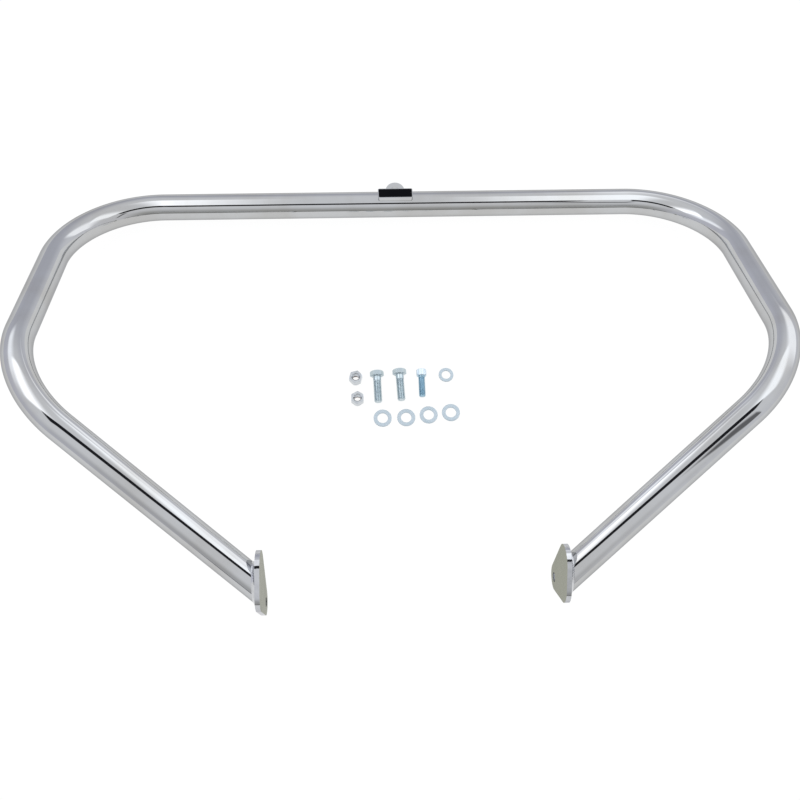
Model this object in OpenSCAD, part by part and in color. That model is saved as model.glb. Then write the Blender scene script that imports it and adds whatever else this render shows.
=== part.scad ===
// Motorcycle crash bars (engine guard): one bent steel tube that loops round the front of the
// engine, a flat mounting plate welded on each lower end, a drilled lug at the top centre, a bare
// badge, and the fasteners that go with it, laid out beside it.
// Millimetres. The part lies on its back: +X is across the motorcycle, +Y runs towards the top
// tube and +Z points up from the surface it lies on. The origin is the lug hole's centre on the
// face that the lug rests on.

/* [Tube] */
// Outside diameter of the tube
tube_d = 31.75; // [25.4:0.05:38.1]
// Wall thickness of the tube
tube_wall = 3.05; // [1.6:0.05:4]
// Centreline radius of all four bends
bend_r = 112.5; // [90:0.5:150]
// Half the distance between the upper corners, on the centreline
upper_half = 397.5; // [300:0.5:460]
// Half the distance between the outer corners, on the centreline
outer_half = 404.25; // [310:0.25:460]
// How far the outer corners lie below the top tube, along Y
outer_drop = 285.6; // [200:0.2:360]
// How far the outer corners stand above the top tube, along Z
outer_rise = 134.8; // [60:0.2:180]
// Half the distance between the outer faces of the end plates
end_half = 159.7; // [120:0.1:220]
// How far the tube ends lie below the top tube, along Y
end_drop = 477.9; // [380:0.1:560]
// How far the tube ends stand above the top tube, along Z
end_rise = 34.15; // [0:0.05:80]
// Diameter of the drain hole under each leg
drain_d = 6; // [3:0.5:8]
// Distance of the drain hole from the end plate, along the tube
drain_run = 48; // [35:1:90]

/* [End plates] */
// Thickness of the end plates
plate_t = 5.1; // [4:0.05:10]
// Radius of the plate's two round upper corners
plate_corner_r = 19.2; // [12:0.1:26]
// Distance between the centres of the upper corners
plate_spread = 23.4; // [10:0.1:40]
// Distance of the upper corners' centres above the tube's end, across the line that joins them
plate_lift = 4.9; // [0:0.1:15]
// Shift of the upper corners along Y from the tube's end
plate_shift = 4.3; // [-5:0.1:10]
// Slope of the line through the left plate's upper corners
left_slope = 13; // [0:0.5:45]
// Slope of the line through the right plate's upper corners
right_slope = 34; // [0:0.5:45]
// Radius of the rounded lower lobe
plate_lobe_r = 14; // [11:0.5:18]
// Nominal size of the bolt through each end plate
end_bolt_d = 9.525; // [8:0.005:12.7]
// Diametral clearance of a bolt in its hole
bolt_clear = 0.8; // [0.3:0.05:1.5]
// Hole position along Y on the left plate, from the tube's end
left_lobe_y = -10.6; // [-20:0.1:20]
// Hole position along Y on the right plate, from the tube's end
right_lobe_y = 6.4; // [-20:0.1:20]
// Leg length of the fillet weld round each tube end
end_weld_leg = 5; // [2:0.1:6]

/* [Centre lug] */
// Thickness of the lug
lug_t = 6.35; // [4:0.05:10]
// Width of the lug
lug_w = 24; // [20:0.1:40]
// Distance from the hole's centre back to the centre of the lug's round end
lug_nose = 2; // [0:0.1:4]
// Distance of the lug's hole from the tube's centreline
lug_reach = 34; // [28:0.5:50]
// How far the lug runs on below the tube's centreline
lug_tail = 4; // [3:0.1:20]
// Corner radius at the lug's lower end
lug_corner_r = 1.5; // [1:0.5:3]
// Nominal size of the screw through the lug
lug_screw_d = 7.9375; // [6:0.0005:10]
// Distance of the upper lug weld's toe from the line of contact
lug_weld_w = 10.5; // [8:0.1:12]
// Size of the weld across the lug's lower end
lug_weld_low = 3.6; // [2:0.1:5]
// Distance from the line of contact at which the weld starts
lug_weld_root = 2.5; // [2:0.1:4]

/* [Badge] */
// Length of the badge's base
badge_l = 43; // [30:0.5:60]
// Width of the badge's base
badge_w = 16.2; // [10:0.1:20]
// Distance of the badge's front from the tube's centreline
badge_front = 19.2; // [17:0.1:24]
// Angle by which the badge leans towards the lug
badge_lean = 12.6; // [-20:0.1:45]
// Position of the badge along the tube
badge_x = -1.5; // [-10:0.5:10]
// Width of the metal rim round the inlay
badge_rim = 0.8; // [0.4:0.1:2]
// Depth of the pocket for the inlay
badge_pocket = 0.7; // [0.3:0.1:1.5]
// How far the inlay lies below the rim
inlay_sink = 0.1; // [0:0.05:0.4]

/* [Fasteners] */
// Width across flats of the end bolts and their nuts
bolt_af = 14.2875; // [12:0.0005:19]
// Head height of the end bolts
bolt_head = 6.17; // [5:0.01:9]
// Length of the end bolts under the head
bolt_l = 31.75; // [25:0.05:60]
// Head diameter of the lug's screw
screw_head_d = 11.9; // [10:0.1:16]
// Head height of the lug's screw
screw_head = 7.94; // [6:0.01:10]
// Length of the lug's screw under its head
screw_l = 25.4; // [16:0.1:50]
// Width across flats of the screw's socket
socket_af = 6.35; // [5:0.05:8]
// Depth of the screw's socket
socket_depth = 4; // [3:0.1:6]
// Height of the lock nuts
nut_h = 11.7; // [9:0.1:15]
// Height of the lock nut's round collar
nut_collar_h = 3.6; // [2.5:0.1:5]
// Diameter of the lock nut's round collar
nut_collar_d = 13; // [12:0.1:15]
// Minor diameter of the lock nut's thread
nut_minor_d = 8.1; // [7.8:0.05:8.6]
// Outside diameter of the 3/8 in washers
end_washer_od = 21.1; // [18:0.1:26]
// Hole diameter of the 3/8 in washers
end_washer_id = 12.4; // [9.8:0.1:14]
// Outside diameter of the 5/16 in washer
lug_washer_od = 17.6; // [15:0.1:22]
// Hole diameter of the 5/16 in washer
lug_washer_id = 10.6; // [8.2:0.1:12]
// Thickness of the washers
washer_t = 1.6; // [1:0.1:3]

/* [Hidden] */
$fn = 96;
tube_r = tube_d / 2;
// The lug's front face touches the tube, so this is the height of the top tube's centreline.
axis_z = lug_t + tube_r;
axis_y = -lug_reach;

function unit(v) = v / norm(v);

// A ball this much larger in radius than the tube sits where a bend meets a straight run, which
// stops a little short of it, so that the two join cleanly at any bend angle.
joint_proud = 0.05;
joint_short = 0.2;
// Turn of the ball about the tube's axis, which keeps its seam away from the seams beside it.
joint_turn = 37;

// Corners of the right half of the centreline.
p_upper = [upper_half, axis_y, axis_z];
p_outer = [outer_half, axis_y - outer_drop, axis_z + outer_rise];
p_end = [end_half, axis_y - end_drop, axis_z + end_rise];
d_top = [1, 0, 0];
d_arm = unit(p_outer - p_upper);
d_leg = unit(p_end - p_outer);
turn_upper = acos(d_top * d_arm);
turn_outer = acos(d_arm * d_leg);
take_upper = bend_r * tan(turn_upper / 2);
take_outer = bend_r * tan(turn_outer / 2);

// Mounting holes.
end_hole_r = (end_bolt_d + bolt_clear) / 2;
lug_hole_r = (lug_screw_d + bolt_clear) / 2;
lobe_z = plate_lobe_r;

// Piece positions on the surface, read from the photograph: [x, y] and a heading in degrees.
bolt_1_at = [-30.4, -256.2];
bolt_1_turn = 1.6;
bolt_2_at = [-3.8, -254.4];
bolt_2_turn = 2.5;
screw_at = [22.4, -254.6];
screw_turn = 0.4;
nut_1_at = [-55.2, -264];
nut_1_turn = 14;
nut_2_at = [-53.7, -290.3];
nut_2_turn = 28;
washer_at = [[-24.9, -312.7], [2.6, -312.6], [29, -309.9], [55.2, -307.6]];
lug_washer_at = [52.1, -259.5];

// Nylon ring of the lock nuts.
lip_t = 0.45;
ring_h = 2.7;
ring_r = 5.75;
ring_bore_r = 4.35;
lip_r = 5.1;
crest_r = end_bolt_d / 2;

// Puts a child's local axes x, y and z along the given directions, at a point.
module place(o, x, y, z) {
    multmatrix([[x[0], y[0], z[0], o[0]], [x[1], y[1], z[1], o[1]], [x[2], y[2], z[2], o[2]], [0, 0, 0, 1]])
        children();
}

// A straight run of round bar between two points; s is a direction across it.
module run(a, b, s, r) {
    d = unit(b - a);
    x = unit(s - (s * d) * d);
    place(a, x, cross(d, x), d)
        cylinder(r = r, h = norm(b - a));
}

// A bend at corner v, from direction d1 to direction d2.
module bend(v, d1, d2, r) {
    turn = acos(d1 * d2);
    n = unit(d2 - (d2 * d1) * d1);
    start = v - d1 * bend_r * tan(turn / 2);
    place(start + n * bend_r, -n, d1, cross(-n, d1))
        rotate_extrude(angle = turn)
            translate([bend_r, 0])
                circle(r = r);
}

// A straight run of the tube with a joint ball at either end, its poles on the tube's axis.
module tube_run(a, b, s, r) {
    d = unit(b - a);
    x = unit(s - (s * d) * d);
    run(a + d * joint_short, b - d * joint_short, s, r);
    for (p = [a, b])
        place(p, x, cross(d, x), d)
            rotate([0, 0, joint_turn])
                sphere(r = r + joint_proud);
}

// Right half of the tube's path as a solid bar, run on past the end plate's plane.
module half_path(r) {
    n_outer = d_leg - (d_leg * d_arm) * d_arm;
    bend(p_upper, d_top, d_arm, r);
    tube_run(p_upper + d_arm * take_upper, p_outer - d_arm * take_outer, n_outer, r);
    bend(p_outer, d_arm, d_leg, r);
    tube_run(p_outer + d_leg * take_outer, p_end + d_leg * 40, n_outer, r);
}

module path(r) {
    tube_run([-(upper_half - take_upper), axis_y, axis_z], [upper_half - take_upper, axis_y, axis_z],
        [0, 0, 1], r);
    half_path(r);
    mirror([1, 0, 0])
        half_path(r);
}

// Drain hole through the lower wall of the right leg.
module drain() {
    at = p_end - d_leg * drain_run;
    down = unit([0, 0, -1] - ([0, 0, -1] * d_leg) * d_leg);
    run(at, at + down * (tube_r + 5), d_leg, drain_d / 2);
}

module guard_tube() {
    color([0.80, 0.81, 0.83])
        difference() {
            path(tube_r);
            path(tube_r - tube_wall);
            translate([-end_half, axis_y - end_drop - 80, axis_z + end_rise - 70])
                cube([2 * end_half, 160, 120]);
            drain();
            mirror([1, 0, 0])
                drain();
        }
}

// Points where the outer tangent of two circles touches them, on the right of a to b.
function tangent_a(a, ra, b, rb) =
    let (d = b - a, t = atan2(d[1], d[0]) - acos((ra - rb) / norm(d)))
    a + ra * [cos(t), sin(t)];
function tangent_b(a, ra, b, rb) =
    let (d = b - a, t = atan2(d[1], d[0]) - acos((ra - rb) / norm(d)))
    b + rb * [cos(t), sin(t)];

// Outline of an end plate in Y and Z, with its hole: two round upper corners and a lower lobe,
// joined by the lines that touch them.
module plate_outline(lobe_y, slope) {
    along = [cos(slope), sin(slope)];
    up = [-sin(slope), cos(slope)];
    mid = [p_end[1] + plate_shift, p_end[2]] + up * plate_lift;
    a = mid + along * plate_spread / 2;
    b = mid - along * plate_spread / 2;
    c = [p_end[1] + lobe_y, lobe_z];
    rc = plate_corner_r;
    rl = plate_lobe_r;
    difference() {
        union() {
            polygon([tangent_a(a, rc, b, rc), tangent_b(a, rc, b, rc), tangent_a(b, rc, c, rl),
                tangent_b(b, rc, c, rl), tangent_a(c, rl, a, rc), tangent_b(c, rl, a, rc)]);
            translate(a)
                circle(r = rc);
            translate(b)
                circle(r = rc);
            translate(c)
                circle(r = rl);
        }
        translate(c)
            circle(r = end_hole_r);
    }
}

module plate(lobe_y, slope) {
    translate([end_half - plate_t, 0, 0])
        rotate([90, 0, 90])
            linear_extrude(height = plate_t)
                plate_outline(lobe_y, slope);
}

module left_end_plate() {
    color([0.78, 0.79, 0.80])
        mirror([1, 0, 0])
            plate(left_lobe_y, left_slope);
}

module right_end_plate() {
    color([0.78, 0.79, 0.80])
        plate(right_lobe_y, right_slope);
}

// Fillet weld round the foot of the right leg: a ring of facets that follows the oblique joint. Its
// inner facets touch the tube at their middles.
module end_weld() {
    steps = 96;
    back = -d_leg;
    x = unit([1, 0, 0] - ([1, 0, 0] * back) * back);
    y = cross(back, x);
    rc = tube_r / cos(180 / steps);
    w = end_weld_leg;
    ring = [for (i = [0:steps - 1])
        let (
            t = 360 * i / steps,
            out = cos(t) * x + sin(t) * y,
            side = cross(back, out),
            foot = p_end + rc * (out - back * (out[0] / back[0])),
            rim = unit(side - back * (side[0] / back[0])),
            plane = unit(cross([1, 0, 0], rim)),
            flat = plane * (plane * out > 0 ? 1 : -1)
        )
        [
            foot,
            foot + flat * w,
            foot + flat * w * 0.86 + [w * 0.22, 0, 0],
            foot + flat * w * 0.40 + back * w * 0.62 + [0.25, 0, 0],
            foot + back * w * 1.1
        ]];
    pts = [for (q = ring) for (p = q) p];
    k = 5;
    faces = [for (i = [0:steps - 1]) for (j = [0:k - 1])
        let (n = (i + 1) % steps, m = (j + 1) % k)
        for (tri = [[i * k + j, n * k + j, n * k + m], [i * k + j, n * k + m, i * k + m]]) tri];
    polyhedron(points = pts, faces = faces);
}

module left_end_weld() {
    color([0.72, 0.73, 0.75])
        mirror([1, 0, 0])
            end_weld();
}

module right_end_weld() {
    color([0.72, 0.73, 0.75])
        end_weld();
}

module centre_lug() {
    end_y = axis_y - lug_tail;
    inset = lug_w / 2 - lug_corner_r;
    color([0.76, 0.78, 0.82])
        difference() {
            linear_extrude(height = lug_t)
                union() {
                    translate([0, -lug_nose])
                        circle(r = lug_w / 2);
                    translate([-lug_w / 2, end_y + lug_corner_r])
                        square([lug_w, -end_y - lug_corner_r - lug_nose]);
                    translate([-inset, end_y])
                        square([2 * inset, lug_corner_r]);
                    for (sx = [-1, 1])
                        translate([sx * inset, end_y + lug_corner_r])
                            circle(r = lug_corner_r);
                }
            translate([0, 0, -1])
                cylinder(r = lug_hole_r, h = lug_t + 2);
        }
}

// Bead between the lug and the tube, from its section: distance from the line of contact along Y,
// positive towards the hole, and height above the lug's face.
module lug_bead(section, length) {
    difference() {
        translate([-length / 2, axis_y, lug_t])
            rotate([90, 0, 90])
                linear_extrude(height = length)
                    polygon(section);
        run([-30, axis_y, axis_z], [30, axis_y, axis_z], [0, 0, 1], tube_r);
    }
}

// Fillet weld in the groove on the side towards the hole.
module lug_upper_weld() {
    root = lug_weld_root;
    w = lug_weld_w;
    rise = tube_r - sqrt(tube_r * tube_r - (w - 1.5) * (w - 1.5));
    color([0.72, 0.73, 0.75])
        lug_bead([[root, 0], [w, 0], [w - 0.25, rise * 0.45], [w - 1.2, rise + 0.35],
            [w - 3, rise + 1.2], [root, rise]], lug_w - 1.6);
}

// Weld across the lug's lower end, up to the tube.
module lug_lower_weld() {
    w = lug_weld_low;
    root = lug_tail / 2;
    color([0.72, 0.73, 0.75])
        lug_bead([[-root, 0], [-lug_tail, 0], [-lug_tail, -w], [-lug_tail - w * 0.3, -w * 0.9],
            [-lug_tail - w * 0.75, -w * 0.2], [-lug_tail - w * 0.95, w * 0.55],
            [-lug_tail, w * 0.8], [-root, w * 0.4]], lug_w - 2 * lug_corner_r - 0.4);
}

// Moves a child from the badge's own axes, z along its front's normal, onto the tube.
module on_badge() {
    translate([badge_x, axis_y, axis_z])
        rotate([-badge_lean, 0, 0])
            children();
}

module rounded(l, w, r) {
    union() {
        square([l, w - 2 * r], center = true);
        square([l - 2 * r, w], center = true);
        for (sx = [-1, 1])
            for (sy = [-1, 1])
                translate([sx * (l / 2 - r), sy * (w / 2 - r)])
                    circle(r = r);
    }
}

module badge_base() {
    low = sqrt(tube_r * tube_r - badge_w * badge_w / 4) - 0.4;
    color([0.84, 0.84, 0.85])
        difference() {
            on_badge()
                translate([0, 0, low])
                    linear_extrude(height = badge_front - low)
                        rounded(badge_l, badge_w, 2.2);
            on_badge()
                translate([0, 0, badge_front - badge_pocket])
                    linear_extrude(height = 3)
                        rounded(badge_l - 2 * badge_rim, badge_w - 2 * badge_rim, 1.4);
            run([-40, axis_y, axis_z], [40, axis_y, axis_z], [0, 0, 1], tube_r);
        }
}

module badge_inlay() {
    color([0.02, 0.02, 0.02])
        on_badge()
            translate([0, 0, badge_front - badge_pocket])
                linear_extrude(height = badge_pocket - inlay_sink)
                    rounded(badge_l - 2 * badge_rim, badge_w - 2 * badge_rim, 1.4);
}

// End bolt standing on its head's top: head from 0 up, then the shank.
module bolt_shape() {
    e = 1;
    r = end_bolt_d / 2;
    union() {
        intersection() {
            cylinder(r = bolt_af / 2 / cos(30), h = bolt_head, $fn = 6);
            cylinder(r1 = bolt_af / 2 - 0.15, r2 = bolt_af / 2 - 0.15 + bolt_head / tan(30), h = bolt_head);
        }
        translate([0, 0, bolt_head])
            cylinder(r = r, h = bolt_l - e);
        translate([0, 0, bolt_head + bolt_l - e])
            cylinder(r1 = r, r2 = r - e, h = e);
    }
}

// Lays a fastener down: its head's lower edge and its tip both touch the surface.
module lie(at, turn, low_head, tip_r, head_h, tip_z) {
    drop = asin((low_head - tip_r) / norm([tip_z - head_h, low_head - tip_r]));
    translate([at[0], at[1], 0])
        rotate([0, 0, turn])
            translate([0, 0, low_head * cos(drop) + head_h * sin(drop)])
                rotate([90 + drop, 0, 0])
                    children();
}

module end_bolt(at, turn) {
    color([0.74, 0.79, 0.82])
        lie(at, turn, bolt_af / 2, end_bolt_d / 2, bolt_head, bolt_head + bolt_l - 1)
            bolt_shape();
}

module end_bolt_1() {
    end_bolt(bolt_1_at, bolt_1_turn);
}

module end_bolt_2() {
    end_bolt(bolt_2_at, bolt_2_turn);
}

module lug_screw() {
    e = 0.9;
    c = 0.8;
    r = lug_screw_d / 2;
    hr = screw_head_d / 2;
    color([0.82, 0.86, 0.90])
        lie(screw_at, screw_turn, hr, r, screw_head, screw_head + screw_l - e)
            difference() {
                union() {
                    cylinder(r1 = hr - c, r2 = hr, h = c);
                    translate([0, 0, c])
                        cylinder(r = hr, h = screw_head - c);
                    translate([0, 0, screw_head])
                        cylinder(r = r, h = screw_l - e);
                    translate([0, 0, screw_head + screw_l - e])
                        cylinder(r1 = r, r2 = r - e, h = e);
                }
                translate([0, 0, -1])
                    cylinder(r = socket_af / 2 / cos(30), h = socket_depth + 1, $fn = 6);
            }
}

// Lock nut standing on its collar.
module lock_nut(at, turn) {
    ac = bolt_af / cos(30);
    c = 0.7;
    color([0.74, 0.79, 0.82])
        translate([at[0], at[1], 0])
            rotate([0, 0, turn])
                difference() {
                    union() {
                        cylinder(r1 = nut_collar_d / 2 - c, r2 = nut_collar_d / 2, h = c);
                        translate([0, 0, c])
                            cylinder(r = nut_collar_d / 2, h = nut_collar_h - c);
                        translate([0, 0, nut_collar_h])
                            intersection() {
                                cylinder(r = ac / 2, h = nut_h - nut_collar_h, $fn = 6);
                                cylinder(r1 = bolt_af / 2 - 0.1 + (nut_h - nut_collar_h) / tan(30),
                                    r2 = bolt_af / 2 - 0.1, h = nut_h - nut_collar_h);
                                cylinder(r1 = bolt_af / 2 - 0.1,
                                    r2 = bolt_af / 2 - 0.1 + (nut_h - nut_collar_h) / tan(30),
                                    h = nut_h - nut_collar_h);
                            }
                    }
                    translate([0, 0, -1])
                        cylinder(r = nut_minor_d / 2, h = nut_h + 2);
                    translate([0, 0, -1])
                        cylinder(r = lip_r, h = 1 + lip_t + 1);
                    translate([0, 0, lip_t])
                        cylinder(r = ring_r, h = ring_h);
                    translate([0, 0, nut_h - 0.9])
                        cylinder(r1 = nut_minor_d / 2, r2 = nut_minor_d / 2 + 1.8, h = 1.8);
                }
}

module lock_nut_1() {
    lock_nut(nut_1_at, nut_1_turn);
}

module lock_nut_2() {
    lock_nut(nut_2_at, nut_2_turn);
}

module nut_insert(at) {
    color([0.55, 0.42, 0.36])
        translate([at[0], at[1], lip_t])
            difference() {
                cylinder(r = ring_r, h = ring_h);
                translate([0, 0, -1])
                    cylinder(r = ring_bore_r, h = ring_h + 2);
            }
}

module nut_insert_1() {
    nut_insert(nut_1_at);
}

module nut_insert_2() {
    nut_insert(nut_2_at);
}

module washer(at, od, id) {
    e = 0.25;
    color([0.74, 0.79, 0.83])
        translate([at[0], at[1], 0])
            difference() {
                union() {
                    cylinder(r1 = od / 2 - e, r2 = od / 2, h = e);
                    translate([0, 0, e])
                        cylinder(r = od / 2, h = washer_t - 2 * e);
                    translate([0, 0, washer_t - e])
                        cylinder(r1 = od / 2, r2 = od / 2 - e, h = e);
                }
                translate([0, 0, -1])
                    cylinder(r = id / 2, h = washer_t + 2);
            }
}

module end_washer_1() {
    washer(washer_at[0], end_washer_od, end_washer_id);
}

module end_washer_2() {
    washer(washer_at[1], end_washer_od, end_washer_id);
}

module end_washer_3() {
    washer(washer_at[2], end_washer_od, end_washer_id);
}

module end_washer_4() {
    washer(washer_at[3], end_washer_od, end_washer_id);
}

module lug_washer() {
    washer(lug_washer_at, lug_washer_od, lug_washer_id);
}

guard_tube();
left_end_plate();
right_end_plate();
left_end_weld();
right_end_weld();
centre_lug();
lug_upper_weld();
lug_lower_weld();
badge_base();
badge_inlay();
end_bolt_1();
end_bolt_2();
lug_screw();
lock_nut_1();
lock_nut_2();
nut_insert_1();
nut_insert_2();
end_washer_1();
end_washer_2();
end_washer_3();
end_washer_4();
lug_washer();
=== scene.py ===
import math

import bmesh
import bpy
from mathutils import Matrix, Quaternion, Vector
from mathutils.geometry import tessellate_polygon


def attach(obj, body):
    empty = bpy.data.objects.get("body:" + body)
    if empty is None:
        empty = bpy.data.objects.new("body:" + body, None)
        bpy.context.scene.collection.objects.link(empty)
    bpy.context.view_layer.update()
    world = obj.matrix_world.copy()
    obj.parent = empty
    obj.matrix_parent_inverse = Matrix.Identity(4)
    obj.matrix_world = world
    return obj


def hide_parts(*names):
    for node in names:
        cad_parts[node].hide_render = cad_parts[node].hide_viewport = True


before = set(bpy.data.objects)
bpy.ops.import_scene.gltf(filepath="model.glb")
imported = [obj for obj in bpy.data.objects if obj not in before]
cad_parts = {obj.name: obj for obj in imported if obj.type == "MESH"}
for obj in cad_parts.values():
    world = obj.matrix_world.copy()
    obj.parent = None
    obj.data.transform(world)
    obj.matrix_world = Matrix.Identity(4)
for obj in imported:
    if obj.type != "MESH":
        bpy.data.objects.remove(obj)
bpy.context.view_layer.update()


# Guard tube
#
# One length of 1-1/4 in steel tube with a 3 mm wall, bent in four places on a mandrel, polished
# and chrome plated. Each foot is sawn at a slant to sit flat on its end plate, and has a drain
# hole drilled through the underside.
tube_r = 0.01586
bore_r = 0.012825
bend_r = 0.1125
top_middle = Vector((0.0, -0.034, 0.022225))
top_corner = Vector((0.3975, -0.034, 0.022225))
outer_corner = Vector((0.40425, -0.3196, 0.157025))
foot = Vector((0.1597, -0.5119, 0.056375))
foot_plane = foot.x
drain_r = 0.003
drain_from_foot = 0.048
tube_columns = 96
bend_step = math.radians(1.5)


def surface(name, verts, faces, material, crease=30.0, place=None, weighted=False):
    """Makes one closed, smooth-shaded piece whose edges over the crease angle stay crisp."""
    mesh = bpy.data.meshes.new(name)
    mesh.from_pydata([tuple(place @ Vector(v)) if place else tuple(v) for v in verts], [], faces)
    shell = bmesh.new()
    shell.from_mesh(mesh)
    bmesh.ops.remove_doubles(shell, verts=shell.verts[:], dist=2e-6)
    bmesh.ops.dissolve_degenerate(shell, edges=shell.edges[:], dist=1e-7)
    bmesh.ops.recalc_face_normals(shell, faces=shell.faces[:])
    shell.to_mesh(mesh)
    shell.free()
    mesh.shade_smooth()
    mesh.set_sharp_from_angle(angle=math.radians(crease))
    mesh.materials.append(material)
    piece = bpy.data.objects.new(name, mesh)
    bpy.context.scene.collection.objects.link(piece)
    if weighted:
        flats = piece.modifiers.new("flat_faces", "WEIGHTED_NORMAL")
        flats.keep_sharp = True
        flats.weight = 60
    return piece


def stands_for(piece, node):
    """Lets a piece take the place of the node of the same part."""
    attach(piece, "root")
    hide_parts(node)


def new_group(name, inputs, outputs):
    """An empty shader group with its sockets, given as names with either a number or a colour."""
    group = bpy.data.node_groups.new(name, "ShaderNodeTree")
    for way, sockets in (("INPUT", inputs), ("OUTPUT", outputs)):
        for label, start in sockets:
            kind = "NodeSocketColor" if isinstance(start, tuple) else "NodeSocketFloat"
            socket = group.interface.new_socket(name=label, in_out=way, socket_type=kind)
            socket.default_value = start
    return group, group.nodes.new("NodeGroupInput"), group.nodes.new("NodeGroupOutput")


def noise(tree, scale, detail, roughness=0.5):
    """A noise texture laid in the part's own space; scale is a number or a socket."""
    where = tree.nodes.new("ShaderNodeTexCoord")
    texture = tree.nodes.new("ShaderNodeTexNoise")
    texture.inputs["Detail"].default_value = detail
    texture.inputs["Roughness"].default_value = roughness
    tree.links.new(where.outputs["Object"], texture.inputs["Vector"])
    if isinstance(scale, (int, float)):
        texture.inputs["Scale"].default_value = scale
    else:
        tree.links.new(scale, texture.inputs["Scale"])
    return texture.outputs["Fac"]


def sums(tree, operation, first, second):
    """A math node on two sockets or numbers."""
    node = tree.nodes.new("ShaderNodeMath")
    node.operation = operation
    for slot, value in zip(node.inputs, (first, second)):
        if isinstance(value, (int, float)):
            slot.default_value = value
        else:
            tree.links.new(value, slot)
    return node.outputs[0]


def ramped(tree, value, low, high, to_low=0.0, to_high=1.0):
    """Maps a socket smoothly from one range to another."""
    node = tree.nodes.new("ShaderNodeMapRange")
    node.interpolation_type = "SMOOTHSTEP"
    tree.links.new(value, node.inputs["Value"])
    limits = {"From Min": low, "From Max": high, "To Min": to_low, "To Max": to_high}
    for slot, number in limits.items():
        if isinstance(number, (int, float)):
            node.inputs[slot].default_value = number
        else:
            tree.links.new(number, node.inputs[slot])
    return node.outputs["Result"]


# Polishing leaves long shallow waves and a fine grain in the steel, which the plating follows.
polish, polish_in, polish_out = new_group(
    "polish_marks",
    [("Wave Scale", 20.0), ("Grain Scale", 700.0), ("Grain Share", 0.05)],
    [("Height", 0.0)],
)
waves = noise(polish, polish_in.outputs["Wave Scale"], 1.0)
grain = noise(polish, polish_in.outputs["Grain Scale"], 2.0)
grain_height = sums(polish, "MULTIPLY", grain, polish_in.outputs["Grain Share"])
polish.links.new(sums(polish, "ADD", waves, grain_height), polish_out.inputs["Height"])

# A plated finish is a little duller and tinted in broad, soft clouds.
plating, plating_in, plating_out = new_group(
    "plating_clouds",
    [
        ("Clear Tone", (0.5, 0.5, 0.5, 1.0)),
        ("Cloud Tone", (0.4, 0.4, 0.4, 1.0)),
        ("Cloud Scale", 12.0),
        ("Clear Roughness", 0.04),
        ("Cloud Roughness", 0.08),
    ],
    [("Color", (0.5, 0.5, 0.5, 1.0)), ("Roughness", 0.05)],
)
clouds = ramped(plating, noise(plating, plating_in.outputs["Cloud Scale"], 4.0, 0.6), 0.35, 0.72)
blend = plating.nodes.new("ShaderNodeMix")
blend.data_type = "RGBA"
plating.links.new(clouds, blend.inputs["Factor"])
plating.links.new(plating_in.outputs["Clear Tone"], blend.inputs["A"])
plating.links.new(plating_in.outputs["Cloud Tone"], blend.inputs["B"])
plating.links.new(blend.outputs["Result"], plating_out.inputs["Color"])
plating.links.new(
    ramped(plating, clouds, 0.0, 1.0, plating_in.outputs["Clear Roughness"],
           plating_in.outputs["Cloud Roughness"]),
    plating_out.inputs["Roughness"],
)


def plated(name, clear, cloud, cloud_scale, gloss, dull, wave, grain_scale, grain_share, depth,
           edge=(1.0, 1.0, 1.0)):
    """A plated metal: clouded tone and gloss over polishing waves; edge is its glancing tone."""
    material = bpy.data.materials.new(name)
    material.use_nodes = True
    tree = material.node_tree
    shader = tree.nodes["Principled BSDF"]
    shader.inputs["Metallic"].default_value = 1.0
    shader.inputs["Specular Tint"].default_value = (*edge, 1.0)
    tone = tree.nodes.new("ShaderNodeGroup")
    tone.node_tree = plating
    tone.inputs["Clear Tone"].default_value = (*clear, 1.0)
    tone.inputs["Cloud Tone"].default_value = (*cloud, 1.0)
    tone.inputs["Cloud Scale"].default_value = cloud_scale
    tone.inputs["Clear Roughness"].default_value = gloss
    tone.inputs["Cloud Roughness"].default_value = dull
    marks = tree.nodes.new("ShaderNodeGroup")
    marks.node_tree = polish
    marks.inputs["Wave Scale"].default_value = wave
    marks.inputs["Grain Scale"].default_value = grain_scale
    marks.inputs["Grain Share"].default_value = grain_share
    bump = tree.nodes.new("ShaderNodeBump")
    bump.inputs["Strength"].default_value = 1.0
    bump.inputs["Distance"].default_value = depth
    tree.links.new(tone.outputs["Color"], shader.inputs["Base Color"])
    tree.links.new(tone.outputs["Roughness"], shader.inputs["Roughness"])
    tree.links.new(marks.outputs["Height"], bump.inputs["Height"])
    tree.links.new(bump.outputs["Normal"], shader.inputs["Normal"])
    return material


chrome = plated("mirror_chrome", clear=(0.53, 0.54, 0.55), cloud=(0.48, 0.48, 0.475),
                cloud_scale=14.0, gloss=0.03, dull=0.06, wave=24.0, grain_scale=900.0,
                grain_share=0.01, depth=0.0001, edge=(0.57, 0.57, 0.58))

# Stations along the right half: centre, direction and one cross axis carried round each bend.
stations = [(top_middle, Vector((1.0, 0.0, 0.0)), Vector((0.0, 0.0, 1.0)))]
heading, cross_axis = stations[0][1:]
for corner, after in ((top_corner, outer_corner), (outer_corner, foot)):
    next_heading = (after - corner).normalized()
    turn = heading.angle(next_heading)
    hinge = heading.cross(next_heading).normalized()
    bend_start = corner - heading * bend_r * math.tan(turn / 2)
    hub = bend_start + hinge.cross(heading) * bend_r
    steps = math.ceil(turn / bend_step)
    for i in range(steps + 1):
        swing = Quaternion(hinge, turn * i / steps)
        stations.append((hub + swing @ (bend_start - hub), swing @ heading, swing @ cross_axis))
    heading, cross_axis = stations[-1][1:]
leg = heading
leg_across = leg.cross(cross_axis)
down = Vector((0.0, 0.0, -1.0))
down = (down - down.dot(leg) * leg).normalized()
first_angle = math.atan2(down.dot(leg_across), down.dot(cross_axis))
column_angle = math.tau / tube_columns
drain_centre = foot - leg * drain_from_foot
window = 4
first_window_row = len(stations)
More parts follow.
